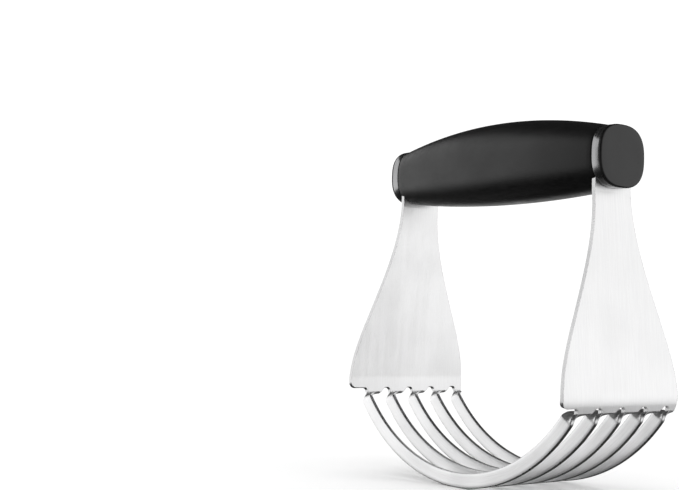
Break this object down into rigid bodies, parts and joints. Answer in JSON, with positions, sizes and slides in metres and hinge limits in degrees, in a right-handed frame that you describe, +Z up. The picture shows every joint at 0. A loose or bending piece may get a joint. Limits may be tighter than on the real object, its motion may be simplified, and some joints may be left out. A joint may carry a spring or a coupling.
{
  "type": "pastry blender",
  "caption": "Hand pastry blender: bowed upright steel blades between two flared side plates under a soft-grip handle.",
  "frame": {"origin": "on the surface the tool stands on, at the blades' lowest points, under the middle of the handle", "axes": "+X along the handle, +Y to the back, +Z up"},
  "size_m": [0.1138, 0.06, 0.1366],
  "materials": {
    "sheet": "fine upright brushed grain",
    "blade_steel": "satin",
    "ring_steel": "satin",
    "soft_grip": "matte, soft touch",
    "core_plastic": "moulded",
    "cap_plastic": "satin face, polished rim",
    "fastener": "bright zinc"
  },
  "bodies": {
    "root": {"left_side_plate": "sheet", "right_side_plate": "sheet", "blade_1": "blade_steel", "blade_2": "blade_steel", "blade_3": "blade_steel", "blade_4": "blade_steel", "blade_5": "blade_steel", "left_end_ring": "ring_steel", "right_end_ring": "ring_steel", "grip_sleeve": "soft_grip", "handle_core": "core_plastic", "left_end_cap": "cap_plastic", "right_end_cap": "cap_plastic", "left_tang_screw": "fastener", "right_tang_screw": "fastener", "left_washer": "fastener", "right_washer": "fastener"}
  },
  "joints": []
}
